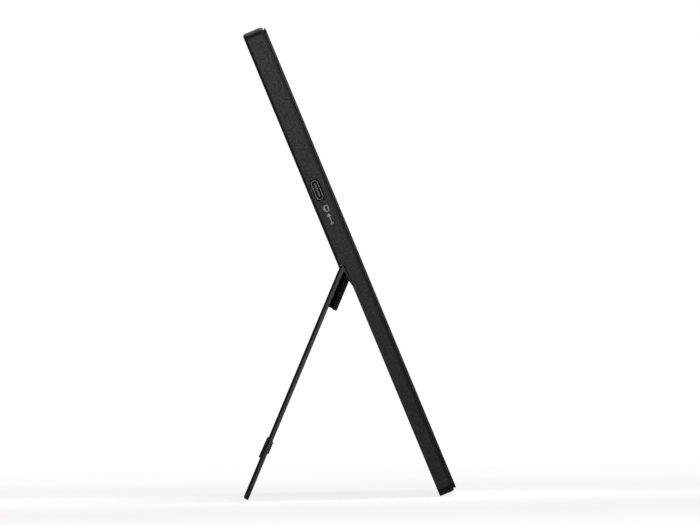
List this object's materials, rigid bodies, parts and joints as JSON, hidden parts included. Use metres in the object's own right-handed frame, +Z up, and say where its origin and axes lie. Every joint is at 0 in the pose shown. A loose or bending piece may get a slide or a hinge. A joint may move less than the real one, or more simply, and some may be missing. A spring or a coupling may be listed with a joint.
{
  "type": "portable monitor with stand flap",
  "caption": "Thin flat screen for a table, leaning back on a full-width flap hinged across the middle of its back, with an oval data socket in one edge and push buttons in the other.",
  "frame": {"origin": "on the floor, under the middle of the box around the part as it stands on heel and flap", "axes": "+Z up, +X along the slab's width to the right of someone who looks at the screen, +Y away from that viewer, so the screen faces -Y and up"},
  "size_m": [0.3604, 0.0954, 0.2126],
  "materials": {
    "casing": "fine matte texture",
    "bezel": "fine matte texture",
    "screen": "polished, with an anti-glare front film",
    "film": "translucent white",
    "clear_plastic": "polished clear",
    "reflector": "bright white",
    "tape": "black adhesive",
    "tray": "plain rolled sheet",
    "foam": "closed cell",
    "board": "solder mask",
    "chip": "moulded",
    "cable": "polyimide film",
    "connector": "moulded",
    "socket_steel": "drawn and plated",
    "contact": "gold plated",
    "shield": "tinned sheet",
    "button": "fine matte texture",
    "hinge_steel": "blackened",
    "washer": "plain",
    "screw": "black zinc",
    "stand": "black anodised, fine blasted",
    "block": "matte moulded",
    "rubber": "matte"
  },
  "bodies": {
    "slab": {"rear_shell": "casing", "front_bezel": "bezel", "panel_tape": "tape", "lcd_cell": "screen", "diffuser_films": "film", "light_guide": "clear_plastic", "reflector_sheet": "reflector", "led_bar": "connector", "panel_tray": "tray", "panel_pads": "foam", "driver_board": "board", "driver_flexes": "cable", "main_board": "board", "board_chips": "chip", "shield_can": "shield", "cable_connectors": "connector", "display_cable": "cable", "usb_c_shell": "socket_steel", "usb_c_tongue": "chip", "usb_c_contacts": "contact", "key_board": "board", "key_switches": "chip", "key_cable": "cable", "hinge_bracket_left": "hinge_steel", "hinge_bracket_right": "hinge_steel", "shell_screws": "screw", "board_screws": "screw", "key_board_screws": "screw", "bracket_screws": "screw"},
    "stand": {"stand_plate": "stand", "foot_strip": "rubber", "grip_outer": "rubber", "grip_inner": "rubber", "hinge_leaf_left": "hinge_steel", "hinge_leaf_right": "hinge_steel", "hinge_block_left": "block", "hinge_block_right": "block", "hinge_pin_left": "hinge_steel", "hinge_pin_right": "hinge_steel", "hinge_washers": "washer", "leaf_screws": "screw"},
    "power_button": {"power_button": "button"},
    "menu_button": {"menu_button": "button"},
    "up_button": {"up_button": "button"},
    "down_button": {"down_button": "button"}
  },
  "joints": [
    {"name": "stand_hinge", "type": "hinge", "parent": "slab", "child": "stand", "pos_m": [0, 0.00191, 0.10331], "axis": [1, 0, 0], "range_deg": [-45.2, 26.8]},
    {"name": "power_press", "type": "slide", "parent": "slab", "child": "power_button", "axis": [-1, 0, 0], "range_m": [0, 0.00035], "stiffness_N_per_m": 3000},
    {"name": "menu_press", "type": "slide", "parent": "slab", "child": "menu_button", "axis": [-1, 0, 0], "range_m": [0, 0.00035], "stiffness_N_per_m": 3000},
    {"name": "up_press", "type": "slide", "parent": "slab", "child": "up_button", "axis": [-1, 0, 0], "range_m": [0, 0.00035], "stiffness_N_per_m": 3000},
    {"name": "down_press", "type": "slide", "parent": "slab", "child": "down_button", "axis": [-1, 0, 0], "range_m": [0, 0.00035], "stiffness_N_per_m": 3000}
  ]
}
